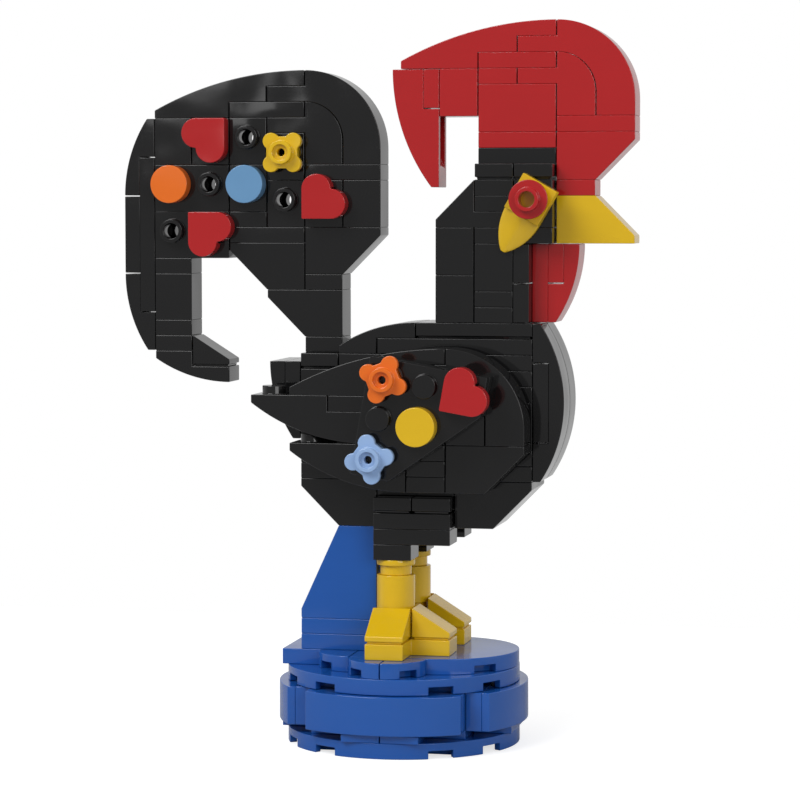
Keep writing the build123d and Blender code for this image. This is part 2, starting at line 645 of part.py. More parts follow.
def foot_top():
    """Pieces on top of the foot: a rear plate, a middle tile, the half round and six quarter rounds."""
    rear = brick(FOOT_REAR_PLATE_SHARES, -WIDE, WIDE)
    middle = brick(FOOT_MIDDLE_TILE_SHARES, -FOOT_CORE_HALF, FOOT_CORE_HALF)
    return [rear, middle, foot_front()] + both([quarter(*shares) for shares in FOOT_QUARTER_SHARES])


def foot_sides():
    """The four double curves that stand on edge round the foot."""
    low, high = [row(share) for share in FOOT_CURVE_ROW_SHARES]
    low, high = low + SIDE_PLAY, high - SIDE_PLAY
    steps = turned(bow(), (-BOW_LENGTH / 2, -FOOT_CORE_HALF - PLATE), RIGHT, DOWN)
    side = Pos(0, 0, low) * extrude(outline_face(steps), amount=high - low)
    return [Rot(0, 0, angle) * side for angle in FOOT_SIDE_ANGLES]


def foot_core():
    """Bricks inside the foot, with the plates behind the double curves and the pads below them."""
    half = FOOT_CORE_HALF
    low, high = [row(share) for share in FOOT_CURVE_ROW_SHARES]
    low, high = low + SIDE_PLAY, high - SIDE_PLAY
    seam = -half - PLATE
    inner = box(SIDE_PLAY - half, half - SIDE_PLAY, seam, -half, low, high)
    outer = box(SIDE_PLAY - STUD, STUD - SIDE_PLAY, seam - PLATE, seam, low, high)
    pads = [brick(cell, -half - STUD, -half) for cell in FOOT_PAD_SHARES]
    solids = bricks(FOOT_BRICK_SHARES, half)
    for angle in FOOT_SIDE_ANGLES:
        solids += [Rot(0, 0, angle) * solid for solid in [inner, outer] + pads]
    return solids


nodes = {}

# Tail
nodes["tail_crown"] = [narrow(laid(curve(CREST_SHARES), TAIL_CREST_SHARES, RIGHT, UP)),
                       narrow(laid(arch(), TAIL_ARCH_SHARES, RIGHT, UP)),
                       narrow(laid(filler(), TAIL_ARCH_SHARES, RIGHT, UP))]
nodes["tail_bricks"] = [stud_brick(cell, columns) for cell, columns in TAIL_STUD_BRICK_SHARES]
nodes["tail_bricks"] += bricks(TAIL_PLAIN_BRICK_SHARES, NARROW)
nodes["tail_plates"] = bricks(TAIL_PLATE_SHARES, NARROW)
nodes["tail_column"] = bricks(TAIL_COLUMN_SHARES, NARROW)
nodes["tail_inverted_slopes"] = [narrow(laid(steep(INVERTED_SHARES), place, way, UP))
                                 for place, way in TAIL_INVERTED_SHARES]
hook_toe_x, hook_toe_z = at(TAIL_TOE_SHARES)
nodes["tail_hook"] = [Pos(hook_toe_x, 0, hook_toe_z) * toe(),
                      narrow(laid(curve(SHORT_CURVE_SHARES), TAIL_HOOK_SHARES, RIGHT, DOWN))]
nodes["tail_back_sides"] = side_plates(TAIL_BACK_CELL_SHARES, NARROW)
nodes["tail_back_sides"] += [narrow(laid(curve(SHORT_CURVE_SHARES), place, way, LEFT))
                             for place, way in TAIL_BACK_CURVE_SHARES]
nodes["tail_orange_tiles"] = both([round_tile(at(TAIL_ORANGE_SHARES), -NARROW)])
nodes["tail_blue_tiles"] = both([round_tile(at(TAIL_BLUE_SHARES), -NARROW)])

# Comb and beak
comb_back_steps = laid(curve(LONG_CURVE_SHARES), COMB_BACK_CURVE_SHARES, UP, LEFT)
nodes["comb_crown"] = [narrow(laid(curve(CREST_SHARES), COMB_CREST_SHARES, RIGHT, UP)),
                       narrow(laid(arch(), COMB_ARCH_SHARES, RIGHT, UP)),
                       narrow(laid(filler(), COMB_ARCH_SHARES, RIGHT, UP))]
nodes["comb_back_slope"] = [narrow(comb_back_steps) - hollow(comb_back_steps, COMB_HOLLOW_SHARES)]
nodes["comb_plates"] = bricks(COMB_PLATE_SHARES, NARROW) + side_plates(COMB_BACK_CELL_SHARES, NARROW)
nodes["comb_bricks"] = bricks(COMB_BRICK_SHARES, NARROW)
nodes["comb_inverted_slope"] = [narrow(laid(steep(INVERTED_SHARES), COMB_INVERTED_SHARES, RIGHT, UP))]
nodes["beak"] = [narrow(laid(steep(BEAK_SHARES), BEAK_PLACE_SHARES, RIGHT, UP))]

# Neck and wattle
nodes["neck_jumpers"] = [jumper(cell, -WIDE, WIDE) for cell in NECK_JUMPER_SHARES]
nodes["neck_jumpers"] += side_plates(THROAT_CELL_SHARES, WIDE)
nodes["neck_plates"] = bricks(NECK_PLATE_SHARES, WIDE) + bricks(HEAD_PLATE_SHARES, NARROW)
nodes["neck_slope"] = [wide(laid(steep(NECK_SLOPE_SHARES), NECK_SLOPE_PLACE_SHARES, RIGHT, UP))]
nodes["neck_bricks"] = bricks(NECK_BRICK_SHARES, WIDE) + both([eye_brick()])
nodes["wattle"] = side_plates(WATTLE_CELL_SHARES, NARROW)
nodes["wattle"].append(narrow(laid(curve(SHORT_CURVE_SHARES), WATTLE_CURVE_SHARES, UP, RIGHT)))

# Body
nodes["body_curved_slopes"] = [wide(laid(curve(SHORT_CURVE_SHARES), BACK_CURVE_SHARES, RIGHT, UP)),
                               wide(laid(curve(SHORT_CURVE_SHARES), RUMP_CURVE_SHARES, UP, LEFT))]
nodes["body_jumpers"] = both([jumper(BACK_JUMPER_SHARES, -WIDE, 0)])
nodes["body_jumpers"].append(jumper(TAIL_SEAT_SHARES, -WIDE, WIDE))
nodes["body_jumpers"] += [jumper(cell, -THIGH, THIGH) for cell in THIGH_JUMPER_SHARES]
nodes["body_plates"] = bricks(BODY_PLATE_SHARES, WIDE) + side_plates(BODY_SIDE_CELL_SHARES, WIDE)
nodes["body_bricks"] = bricks(BODY_BRICK_SHARES, WIDE)
nodes["body_inverted_slopes"] = [wide(laid(steep(INVERTED_SHARES), place, way, UP))
                                 for place, way in BELLY_INVERTED_SHARES]
breast_face = outline_face(laid(bow(), BREAST_CURVE_SHARES, UP, RIGHT))
nodes["breast_curves"] = both([slab(breast_face, SIDE_PLAY - WIDE, -SIDE_PLAY)])

# Thighs and support
nodes["thigh_plates"] = bricks(THIGH_BRIDGE_SHARES, THIGH)
nodes["thigh_plates"] += both([brick(cell, -THIGH, -NARROW) for cell in THIGH_PLATE_SHARES])
nodes["support"] = [wide(laid(steep(SUPPORT_SHARES), SUPPORT_PLACE_SHARES, RIGHT, UP))]
nodes["support"] += bricks(SUPPORT_PLATE_SHARES, WIDE)

# Wings
nodes["wing_slopes"] = both([winged(laid(curve(CREST_SHARES), WING_CREST_SHARES, RIGHT, UP)),
                             winged(laid(steep(INVERTED_SHARES), WING_INVERTED_SHARES, RIGHT, UP))])
nodes["wing_arches"] = both([winged(laid(arch(), WING_ARCH_SHARES, RIGHT, UP)),
                             winged(laid(filler(), WING_ARCH_SHARES, RIGHT, UP))])
nodes["wing_feathers"] = both(feathers())
nodes["wing_cores"] = both(wing_core())

# Foot
nodes["foot_plates"] = [foot_plate(row(level)) for level in FOOT_PLATE_ROW_SHARES]
nodes["foot_core"] = foot_core()
nodes["foot_sides"] = foot_sides()
nodes["foot_top"] = foot_top()

# Pieces that have a node of their own on each side
paired = {"leg": leg(), "eye_claw": [on_eye(claw())], "eye_disc": [on_eye(eye_disc())],
          "tail_flower": [flower(at(TAIL_FLOWER_SHARES), -NARROW)], "wing_panel": panel()}
for name, place in TAIL_HEART_SHARES.items():
    paired["tail_heart_" + name] = [heart(at(place), -NARROW, TAIL_HEART_CORNERS[name])]
panel_items = {
    "wing_tile": round_tile(panel_place(PANEL_TILE_SHARES), -PANEL_FACE),
    "wing_heart": heart(panel_place(PANEL_HEART_SHARES), -PANEL_FACE, PANEL_HEART_CORNER),
    "wing_flower_orange": flower(panel_place(PANEL_ORANGE_SHARES), -PANEL_FACE, ORANGE_FLOWER_TURN),
    "wing_flower_blue": flower(panel_place(PANEL_BLUE_SHARES), -PANEL_FACE, BLUE_FLOWER_TURN),
}
for name, solid in panel_items.items():
    paired[name] = [on_panel(solid)]
for name, solids in paired.items():
    nodes[name + "_near"] = solids
    nodes[name + "_far"] = [far(solid) for solid in solids]

os.makedirs("parts", exist_ok=True)
for name, solids in nodes.items():
    flat = []
    for solid in solids:
        flat += solid.solids()
    shape = flat[0] if len(flat) == 1 else Compound(children=flat)
    export_step(shape, "parts/" + name + ".step")
print(len(nodes), "nodes")
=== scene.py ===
"""Looks of the brick-built rooster: rounded mouldings, glossy plastics, white studio and camera.

Every length is in metres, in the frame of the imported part: +Z up from the foot, +X towards the beak.
"""
import json
import logging
import math
from dataclasses import dataclass
from enum import Enum

import bmesh
import bpy
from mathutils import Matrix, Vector


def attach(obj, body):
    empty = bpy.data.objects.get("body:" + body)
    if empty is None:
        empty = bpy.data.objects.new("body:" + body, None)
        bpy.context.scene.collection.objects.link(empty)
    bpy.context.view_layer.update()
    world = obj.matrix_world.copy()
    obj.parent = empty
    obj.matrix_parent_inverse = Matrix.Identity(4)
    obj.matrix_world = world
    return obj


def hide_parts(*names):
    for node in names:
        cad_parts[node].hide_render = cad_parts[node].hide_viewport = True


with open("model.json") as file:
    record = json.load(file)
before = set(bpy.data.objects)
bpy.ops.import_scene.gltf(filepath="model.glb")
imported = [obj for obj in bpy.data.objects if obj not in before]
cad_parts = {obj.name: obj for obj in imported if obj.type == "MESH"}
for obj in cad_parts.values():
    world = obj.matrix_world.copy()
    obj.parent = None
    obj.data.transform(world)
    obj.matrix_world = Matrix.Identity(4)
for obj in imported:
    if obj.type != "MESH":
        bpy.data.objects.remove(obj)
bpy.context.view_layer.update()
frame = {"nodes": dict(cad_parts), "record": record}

logging.basicConfig(level=logging.INFO, format="%(message)s")
log = logging.getLogger("rooster")

Triple = tuple[float, float, float]
Colour = tuple[float, float, float, float]
Node = bpy.types.Node
Socket = bpy.types.NodeSocket

MM = 0.001
MERGE_REACH = 0.002 * MM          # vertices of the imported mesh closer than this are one
FLAT_ANGLE = math.radians(0.4)    # faces within this angle are one flat face
SHARP_ANGLE = math.radians(28.0)  # edges sharper than this are rounded
PACKED_NORMALS = "custom_normal"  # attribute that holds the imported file's own normals
LOT = "lot"                       # attribute that tells one brick of a node from the next
LOT_STEP = 0.031                  # how far apart two bricks lie in the pattern of their waves
WHITE = (1.0, 1.0, 1.0, 1.0)

# Camera of the photograph, found from edges counted on the brick grid
TARGET = Vector((-0.88 * MM, 0.0, 70.14 * MM))
CAMERA_YAW = math.radians(12.082)
CAMERA_PITCH = math.radians(3.788)
CAMERA_DISTANCE = 594.0 * MM
FOCAL_PIXELS = 2890.4
IMAGE_PIXELS = 800
SENSOR_WIDTH = 36.0  # in millimetres, as the lens
CLIP_START = 0.01
CLIP_END = 20.0


@dataclass(frozen=True)
class Finish:
    """One colour of moulded plastic.

    Attributes:
        slot: material slot of the record.
        colour: linear base colour.
        roughness: roughness of a clean face.
        mottle: how far the pigment varies over a piece, as a share of the colour.
        rim_wear_and_highlight: how much paler the rims are, rubbed and with a painted highlight.
    """

    slot: str
    colour: Triple
    roughness: float = 0.10
    mottle: float = 0.05
    rim_wear_and_highlight: float = 0.05


class Plastic(Enum):
    """Plastics that the rooster is moulded in."""

    BLACK = Finish("black_plastic", (0.0075, 0.0075, 0.0078), roughness=0.08, mottle=0.10, rim_wear_and_highlight=0.012)
    RED = Finish("red_plastic", (0.420, 0.012, 0.014))
    YELLOW = Finish("yellow_plastic", (0.700, 0.440, 0.010))
    ORANGE = Finish("orange_plastic", (0.760, 0.150, 0.012))
    AZURE = Finish("azure_plastic", (0.130, 0.285, 0.490))
    PALE_BLUE = Finish("pale_blue_plastic", (0.285, 0.430, 0.690))
    BLUE = Finish("blue_plastic", (0.010, 0.086, 0.365))


@dataclass(frozen=True)
class Grain:
    """Fine pattern of noise on a surface.

    Attributes:
        scale: how many grains lie along a unit of the coordinates.
        detail: number of finer layers on the first one.
        roughness: how much the finer layers count.
        shows: noise at which the pattern begins to show, and at which it shows in full.
    """

    scale: float
    detail: float
    roughness: float = 0.5
    shows: tuple[float, float] = (0.0, 1.0)


class Shader:
    """Adds nodes and links to one node tree."""

    def __init__(self, tree: bpy.types.NodeTree) -> None:
        """Starts with an empty tree.

        Args:
            tree: node tree to fill.
        """
        self.tree = tree
        tree.nodes.clear()

    def add(self, kind: str, **settings: object) -> Node:
        """Adds a node.

        Args:
            kind: type name of the node, without the prefix of shader nodes.
            **settings: properties of the node, or values of its inputs, by name.

        Returns:
            The new node.
        """
        node = self.tree.nodes.new(kind if kind.startswith("Node") else "ShaderNode" + kind)
        for name, value in settings.items():
            if hasattr(node, name):
                setattr(node, name, value)
            else:
                node.inputs[name].default_value = value
        return node

    def link(self, source: Socket, target: Socket) -> None:
        """Links two sockets."""
        self.tree.links.new(source, target)

    def math(self, operation: str, *operands: Socket | float) -> Socket:
        """Adds a Math node.

        Args:
            operation: name of the operation.
            *operands: its sockets and numbers, in order.

        Returns:
            The result.
        """
        node = self.add("Math", operation=operation)
        for entry, operand in zip(node.inputs, operands):
            if isinstance(operand, Socket):
                self.link(operand, entry)
            else:
                entry.default_value = operand
        return node.outputs[0]

    def ramp(self, value: Socket, low: float, high: float,
             to_low: float = 0.0, to_high: float = 1.0) -> Socket:
        """Maps a range of values to another one, smoothly and clamped.

        Args:
            value: socket to map.
            low: value that gives to_low.
            high: value that gives to_high.
            to_low: result at low.
            to_high: result at high.

        Returns:
            The mapped value.
        """
        node = self.add("MapRange", interpolation_type="SMOOTHSTEP")
        self.link(value, node.inputs["Value"])
        for name, number in zip(("From Min", "From Max", "To Min", "To Max"), (low, high, to_low, to_high)):
            node.inputs[name].default_value = number
        return node.outputs["Result"]

    def noise(self, grain: Grain, place: Socket, lot: Socket | None = None) -> Socket:
        """Adds noise.

        Args:
            grain: the pattern.
            place: coordinates that it is read at.
            lot: value that shifts the whole pattern, or None.

        Returns:
            The noise, from 0 to 1.
        """
        node = self.add("TexNoise", Scale=grain.scale, Detail=grain.detail, Roughness=grain.roughness)
        self.link(place, node.inputs["Vector"])
        if lot is not None:
            node.noise_dimensions = "4D"
            self.link(lot, node.inputs["W"])
        return node.outputs["Fac"]

    def mask(self, grain: Grain, place: Socket) -> Socket:
        """Adds a mask of noise, which is 1 where the grain shows in full."""
        return self.ramp(self.noise(grain, place), *grain.shows)

    def bump(self, height: Socket, depth: float, strength: float, normal: Socket | None = None) -> Socket:
        """Adds a bump.

        Args:
            height: height of the surface, from 0 to 1.
            depth: what a height of 1 measures.
            strength: share of the bump that shows.
            normal: normal that it starts from, or None for the surface's own.

        Returns:
            The new normal.
        """
        node = self.add("Bump", Strength=strength, Distance=depth)
        self.link(height, node.inputs["Height"])
        if normal is not None:
            self.link(normal, node.inputs["Normal"])
        return node.outputs["Normal"]

    def cover(self, share: Socket, under: Socket, over: Colour) -> Socket:
        """Lays a colour over another.

        Args:
            share: how much of the upper colour shows.
            under: the lower colour.
            over: the upper colour.

        Returns:
            The colour that is seen.
        """
        node = self.add("Mix", data_type="RGBA")
        # The node has sockets of the same names for numbers and vectors, so its colours are found by type
        lower, upper = (entry for entry in node.inputs if entry.type == "RGBA")
        self.link(share, node.inputs["Factor"])
        self.link(under, lower)
        upper.default_value = over
        return next(result for result in node.outputs if result.type == "RGBA")


class Effect(Shader):
    """Shader node group that each plastic uses with its own values.

    A kind of effect gives the group's name, the types of its sockets by name, and the nodes in between.
    """

    NAME = ""
    INPUTS: dict[str, str] = {}
    OUTPUTS: dict[str, str] = {}

    def __init__(self) -> None:
        """Makes the group and fills it."""
        group = bpy.data.node_groups.new(self.NAME, "ShaderNodeTree")
        for direction, sockets in (("INPUT", self.INPUTS), ("OUTPUT", self.OUTPUTS)):
            for name, kind in sockets.items():
                group.interface.new_socket(name=name, in_out=direction, socket_type="NodeSocket" + kind)
        super().__init__(group)
        self.given = self.add("NodeGroupInput").outputs
        self.result = self.add("NodeGroupOutput").inputs
        self.place = self.add("TexCoord").outputs["Object"]
        self.fill()

    def fill(self) -> None:
        """Adds the nodes between the group's inputs and outputs."""
        raise NotImplementedError

    def laid(self, stretch: Triple, turn: Triple = (0.0, 0.0, 0.0)) -> Socket:
        """Turns and stretches the object's coordinates.

        Args:
            stretch: scale along each axis.
            turn: angle about each axis.

        Returns:
            The new coordinates.
        """
        lay = self.add("Mapping", Scale=stretch, Rotation=turn)
        self.link(self.place, lay.inputs["Vector"])
        return lay.outputs["Vector"]


class Pigment(Effect):
    """Colour that varies over a moulding, in clouds and in streaks."""

    NAME = "Moulded pigment"
    INPUTS = {"Colour": "Color", "Mottle": "Float"}
    OUTPUTS = {"Colour": "Color"}
    CLOUDS = Grain(scale=95.0, detail=3.0, roughness=0.55)
    STREAKS = Grain(scale=1.0, detail=2.0)
    STREAK_STRETCH = (60.0, 240.0, 420.0)

    def fill(self) -> None:
        """Scales the colour by about one, more or less by the mottle."""
        clouds = self.noise(self.CLOUDS, self.place)
        streaks = self.noise(self.STREAKS, self.laid(self.STREAK_STRETCH))
        # Either noise is a half on average, so less one their sum sways about zero
        sway = self.math("SUBTRACT", self.math("ADD", clouds, streaks), 1.0)
        tint = self.add("VectorMath", operation="SCALE")
        self.link(self.given["Colour"], tint.inputs[0])
        self.link(self.math("MULTIPLY_ADD", sway, self.given["Mottle"], 1.0), tint.inputs["Scale"])
        self.link(tint.outputs[0], self.result["Colour"])


class Skin(Effect):
    """Skin of a moulding: shallow sink waves, faint orange peel and hairline scratches."""

    NAME = "Moulded skin"
    INPUTS = {"Peel": "Float", "Hairlines": "Float"}
    OUTPUTS = {"Waves": "Float", "Height": "Float", "Scratches": "Float"}
    WAVES = Grain(scale=120.0, detail=0.0)
    PEEL = Grain(scale=520.0, detail=2.0, roughness=0.4)
    HAIR = Grain(scale=1.0, detail=1.0, shows=(0.70, 0.76))
    HAIR_LAYS = ((0.5, (45.0, 900.0, 3400.0)),     # turn and stretch of each lay of scratches
                 (-0.9, (3000.0, 800.0, 60.0)),
                 (2.1, (70.0, 2600.0, 2900.0)))
    HAIR_TILT_SHARE = 0.6                          # a lay's turn about Y, as a share of the other two
    WORN = Grain(scale=70.0, detail=1.0, shows=(0.42, 0.68))

    def fill(self) -> None:
        """Adds the waves of each brick, and peel and scratches that run on over all of them."""
        lot = self.add("Attribute", attribute_name=LOT)
        self.link(self.noise(self.WAVES, self.place, lot.outputs["Fac"]), self.result["Waves"])
        hairs = None
        for turn, stretch in self.HAIR_LAYS:
            lay = self.laid(stretch, (turn, turn * self.HAIR_TILT_SHARE, turn))
            hair = self.mask(self.HAIR, lay)
            hairs = hair if hairs is None else self.math("MAXIMUM", hairs, hair)
        worn = self.math("MULTIPLY", hairs, self.mask(self.WORN, self.place))
        scratches = self.math("MULTIPLY", worn, self.given["Hairlines"])
        peel = self.math("MULTIPLY", self.noise(self.PEEL, self.place), self.given["Peel"])
        self.link(self.math("SUBTRACT", peel, scratches), self.result["Height"])
        self.link(scratches, self.result["Scratches"])


class Dust(Effect):
    """Fine dust on faces that look up."""

    NAME = "Shelf dust"
    INPUTS = {"Amount": "Float"}
    OUTPUTS = {"Dust": "Float"}
    SPECKS = Grain(scale=900.0, detail=4.0, roughness=0.7, shows=(0.46, 0.72))
    SLOPE = (0.55, 0.98)  # height of a face's normal where dust begins to lie, and where it lies in full

    def fill(self) -> None:
        """Keeps the specks on faces that look up."""
        normal = self.add("SeparateXYZ")
        self.link(self.add("NewGeometry").outputs["Normal"], normal.inputs[0])
        specks = self.mask(self.SPECKS, self.place)
        dust = self.math("MULTIPLY", self.ramp(normal.outputs["Z"], *self.SLOPE), specks)
        self.link(self.math("MULTIPLY", dust, self.given["Amount"]), self.result["Dust"])


class RimWearAndHighlight(Effect):
    """Rims of a moulding, paler in patches: partly rubbed, partly a painted highlight."""

    NAME = "Rims with rubbing and painted highlight"
    INPUTS = {"Amount": "Float"}
    OUTPUTS = {"Rim": "Float"}
    REACH = 0.22 * MM
    SAMPLES = 4
    BEND = (0.995, 0.90)  # agreement of softened and true normal where a rim begins, and where it is full
    PATCHES = Grain(scale=260.0, detail=3.0, shows=(0.40, 0.66))

    def fill(self) -> None:
        """Finds the places where the normal turns, and keeps some of them."""
        soft = self.add("Bevel", samples=self.SAMPLES, Radius=self.REACH)
        agreement = self.add("VectorMath", operation="DOT_PRODUCT")
        self.link(soft.outputs["Normal"], agreement.inputs[0])
        self.link(self.add("NewGeometry").outputs["Normal"], agreement.inputs[1])
        # The rims are painted paler: partly rubbed plastic, partly a painted highlight along the edges
        edge = self.ramp(agreement.outputs["Value"], *self.BEND)
        rim = self.math("MULTIPLY", edge, self.mask(self.PATCHES, self.place))
        self.link(self.math("MULTIPLY", rim, self.given["Amount"]), self.result["Rim"])


class Paintbox:
    """Makes each plastic's material once, out of the shared effects."""

    IOR = 1.53
    PEEL = 0.35
    PEEL_DEPTH = 0.006 * MM
    PEEL_STRENGTH = 0.6
    SINK_DEPTH = 0.22 * MM
    SINK_STRENGTH = 1.0
    HAIRLINES = 0.12
    HAIRLINE_ROUGHNESS = 0.5  # roughness that a full scratch adds
    DUST = 0.025
    DUST_COLOUR = (0.42, 0.42, 0.41, 1.0)
    PALE_ROUGHNESS = 2.0      # roughness that full dust, or a rubbed rim with its painted highlight, adds

    def __init__(self) -> None:
        """Builds the shared effects."""
        self.pigment = Pigment()
        self.skin = Skin()
        self.dust = Dust()
        self.rims = RimWearAndHighlight()
        self.made: dict[Plastic, bpy.types.Material] = {}

    def material(self, plastic: Plastic) -> bpy.types.Material:
        """Gives the material of a plastic.

        Args:
            plastic: the plastic.

        Returns:
            Its material.
        """
        if plastic not in self.made:
            self.made[plastic] = self.mixed(plastic.value)
        return self.made[plastic]

    def mixed(self, finish: Finish) -> bpy.types.Material:
        """Makes a material.

        Args:
            finish: colour and surface of the plastic.

        Returns:
            The material.
        """
        material = bpy.data.materials.new(finish.slot)
        material.use_nodes = True
        shader = Shader(material.node_tree)
        colour = (*finish.colour, 1.0)
        pigment = shader.add("Group", node_tree=self.pigment.tree, Colour=colour, Mottle=finish.mottle)
        skin = shader.add("Group", node_tree=self.skin.tree, Peel=self.PEEL, Hairlines=self.HAIRLINES)
        dust = shader.add("Group", node_tree=self.dust.tree, Amount=self.DUST)
        rims = shader.add("Group", node_tree=self.rims.tree, Amount=finish.rim_wear_and_highlight)
        # Paler on dust and on the rims; the rims are partly rubbed and partly a painted highlight
        pale = shader.math("ADD", dust.outputs["Dust"], rims.outputs["Rim"])
        scratches = skin.outputs["Scratches"]
        clean = shader.math("MULTIPLY_ADD", scratches, self.HAIRLINE_ROUGHNESS, finish.roughness)
        rough = shader.math("ADD", clean, shader.math("MULTIPLY", pale, self.PALE_ROUGHNESS))
        sunk = shader.bump(skin.outputs["Waves"], self.SINK_DEPTH, self.SINK_STRENGTH)
        normal = shader.bump(skin.outputs["Height"], self.PEEL_DEPTH, self.PEEL_STRENGTH, sunk)
        surface = shader.add("BsdfPrincipled", IOR=self.IOR)
        seen = shader.cover(pale, pigment.outputs["Colour"], self.DUST_COLOUR)
        shader.link(seen, surface.inputs["Base Color"])
        shader.link(rough, surface.inputs["Roughness"])
        shader.link(normal, surface.inputs["Normal"])
        shader.link(surface.outputs["BSDF"], shader.add("OutputMaterial").inputs["Surface"])
        return material


def separate_solids(shell: bmesh.types.BMesh) -> list[list[bmesh.types.BMVert]]:
    """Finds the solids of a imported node, whose bricks touch but are not one piece.

    Triangles come solid by solid, so a solid ends where every edge has met its opposite.

    Args:
        shell: mesh of loose triangles.

    Returns:
        The vertices of each solid.
    """
    solids = []
    # A dictionary keeps its order, so every run merges the corners alike
    corners: dict[bmesh.types.BMVert, None] = {}
    unmet: set[tuple] = set()
    for face in shell.faces:
        corners.update(dict.fromkeys(face.verts))
        ring = [tuple(round(value / MERGE_REACH) for value in vert.co) for vert in face.verts]
        for start, end in zip(ring, ring[1:] + ring[:1]):
            if (end, start) in unmet:
                unmet.remove((end, start))
            else:
                unmet.add((start, end))
        if not unmet:
            solids.append(list(corners))
            corners = {}
    if corners:
        solids.append(list(corners))
    return solids


def body_of(node: str) -> str:
    """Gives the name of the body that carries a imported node."""
    bodies = frame["record"]["behaviour"]["bodies"]
    return next(body for body, nodes in bodies.items() if node in nodes)


@dataclass
class Mouldings:
    """Bricks of one sub-assembly, with their rims rounded as they leave the mould.

    Attributes:
        paints: the shared materials.
        rim_radius: radius of a brick's rims.
        rim_steps: number of faces across a rim.
        flat_weight: how much a large face outweighs a small one in the shading, from 1 to 100.
    """

    paints: Paintbox
    rim_radius: float = 0.16 * MM
    rim_steps: int = 2
    flat_weight: int = 80

    def plan(self) -> dict[str, Plastic]:
        """Gives the plastic of each node of the sub-assembly."""
        raise NotImplementedError

    def shape(self, node: str) -> bmesh.types.BMesh:
        """Copies a node as closed, clean solids.

        Args:
            node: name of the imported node.

        Returns:
            Its mesh, with doubles merged and flat faces whole.
        """
        shell = bmesh.new()
        shell.from_mesh(frame["nodes"][node].data)
        lot = shell.verts.layers.float.new(LOT)
        for number, corners in enumerate(separate_solids(shell)):
            for corner in corners:
                corner[lot] = number * LOT_STEP
            bmesh.ops.remove_doubles(shell, verts=corners, dist=MERGE_REACH)
        bmesh.ops.dissolve_limit(shell, angle_limit=FLAT_ANGLE, verts=shell.verts, edges=shell.edges)
        for face in shell.faces:
            face.smooth = True
        return shell

    def mould(self, node: str) -> bpy.types.Object:
        """Makes the bare piece that stands for a node.

        Args:
            node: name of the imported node.

        Returns:
            The piece, still sharp and without a material.
        """
        name = node + "_moulding"
        mesh = bpy.data.meshes.new(name)
        shell = self.shape(node)
        shell.to_mesh(mesh)
        shell.free()
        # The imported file's own normals no longer fit the cleaned faces
        if PACKED_NORMALS in mesh.attributes:
            mesh.attributes.remove(mesh.attributes[PACKED_NORMALS])
        piece = bpy.data.objects.new(name, mesh)
        bpy.context.scene.collection.objects.link(piece)
        return piece

    def round_rims(self, piece: bpy.types.Object) -> None:
        """Rounds the rims of a piece and keeps its flat faces flat.

        Args:
            piece: the piece.
        """
        rounding = piece.modifiers.new("rims", "BEVEL")
        rounding.width = self.rim_radius
        rounding.segments = self.rim_steps
        rounding.limit_method = "ANGLE"
        rounding.angle_limit = SHARP_ANGLE
        # Clamped, the shortest edge of a node would hold back the rims of all its bricks
        rounding.use_clamp_overlap = False
        # Large faces stay flat and round walls smooth, whatever the narrow rims between them do
        shading = piece.modifiers.new("flat_faces", "WEIGHTED_NORMAL")
        shading.mode = "FACE_AREA"
        shading.weight = self.flat_weight

    def build(self) -> None:
        """Makes and dresses the piece of each node."""
        for node, plastic in self.plan().items():
            piece = self.mould(node)
            piece.data.materials.append(self.paints.material(plastic))
            self.round_rims(piece)
            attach(piece, body_of(node))
            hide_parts(node)
            log.info("%s: %d faces", piece.name, len(piece.data.polygons))


def in_all(plastic: Plastic, *nodes: str) -> dict[str, Plastic]:
    """Gives one plastic to several nodes."""
    return {node: plastic for node in nodes}


def on_both(plastic: Plastic, *stems: str) -> dict[str, Plastic]:
    """Gives one plastic to the near and the far node of several pairs."""
    return {f"{stem}_{side}": plastic for stem in stems for side in ("near", "far")}


class Tail(Mouldings):
    """Tail with its hearts, flowers and round tiles."""

    def plan(self) -> dict[str, Plastic]:
        """Gives the plastic of each node of the tail."""
        return {
            **in_all(Plastic.BLACK, "tail_crown", "tail_bricks", "tail_plates", "tail_column",
                     "tail_inverted_slopes", "tail_hook", "tail_back_sides"),
            **on_both(Plastic.RED, "tail_heart_top", "tail_heart_front", "tail_heart_low"),
            **on_both(Plastic.YELLOW, "tail_flower"),
            "tail_orange_tiles": Plastic.ORANGE,
            "tail_blue_tiles": Plastic.AZURE,
        }


class Comb(Mouldings):
    """Comb, wattle and beak."""

    def plan(self) -> dict[str, Plastic]:
        """Gives the plastic of each node of the comb, the wattle and the beak."""
        return {
            **in_all(Plastic.RED, "comb_crown", "comb_back_slope", "comb_plates", "comb_bricks",
                     "comb_inverted_slope", "wattle"),
            "beak": Plastic.YELLOW,
        }


class Neck(Mouldings):
    """Neck and eyes."""

    def plan(self) -> dict[str, Plastic]:
        """Gives the plastic of each node of the neck and the eyes."""
        return {
            **in_all(Plastic.BLACK, "neck_jumpers", "neck_plates", "neck_slope", "neck_bricks"),
            **on_both(Plastic.YELLOW, "eye_claw"),
            **on_both(Plastic.RED, "eye_disc"),
        }


class Torso(Mouldings):
    """Body between the wings, with its breast and thighs."""

    def plan(self) -> dict[str, Plastic]:
        """Gives the plastic of each node of the body."""
        return in_all(Plastic.BLACK, "body_curved_slopes", "body_jumpers", "body_plates", "body_bricks",
                      "body_inverted_slopes", "breast_curves", "thigh_plates")


class Wings(Mouldings):
    """Wings with their turning panels."""

    def plan(self) -> dict[str, Plastic]:
        """Gives the plastic of each node of the wings."""
        return {
            **in_all(Plastic.BLACK, "wing_slopes", "wing_arches", "wing_feathers", "wing_cores"),
            **on_both(Plastic.BLACK, "wing_panel"),
            **on_both(Plastic.YELLOW, "wing_tile"),
            **on_both(Plastic.RED, "wing_heart"),
            **on_both(Plastic.ORANGE, "wing_flower_orange"),
            **on_both(Plastic.PALE_BLUE, "wing_flower_blue"),
        }


